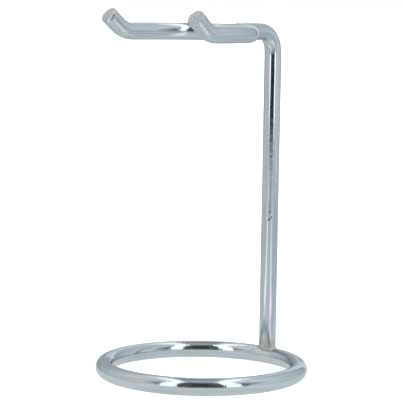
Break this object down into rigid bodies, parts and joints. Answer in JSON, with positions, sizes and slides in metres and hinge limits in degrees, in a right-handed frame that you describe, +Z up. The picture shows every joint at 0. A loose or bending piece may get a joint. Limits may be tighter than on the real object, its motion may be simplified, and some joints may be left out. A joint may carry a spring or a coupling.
{
  "type": "shaving brush stand",
  "caption": "Chrome-plated rod stand: a round base ring, an upright post and a U-shaped cradle fork with upturned tips that holds a shaving brush with its bristles hanging down.",
  "frame": {"origin": "centre of the base ring, at the height of the surface that the ring stands on", "axes": "+Z is up along the post; -Y is the front, towards which the fork opens; the post stands at +Y; +X is to the right seen from the front"},
  "size_m": [0.0628, 0.0631, 0.1082],
  "materials": {
    "chrome_rod": "bright chrome plating over drawn round steel rod",
    "chrome_weld": "chrome plating over weld metal, duller and slightly stained"
  },
  "bodies": {
    "root": {"base_ring": "chrome_rod", "ring_seam_weld": "chrome_weld", "upright_post": "chrome_rod", "post_foot_weld": "chrome_weld", "cradle_fork": "chrome_rod", "fork_joint_weld": "chrome_weld"}
  },
  "joints": []
}
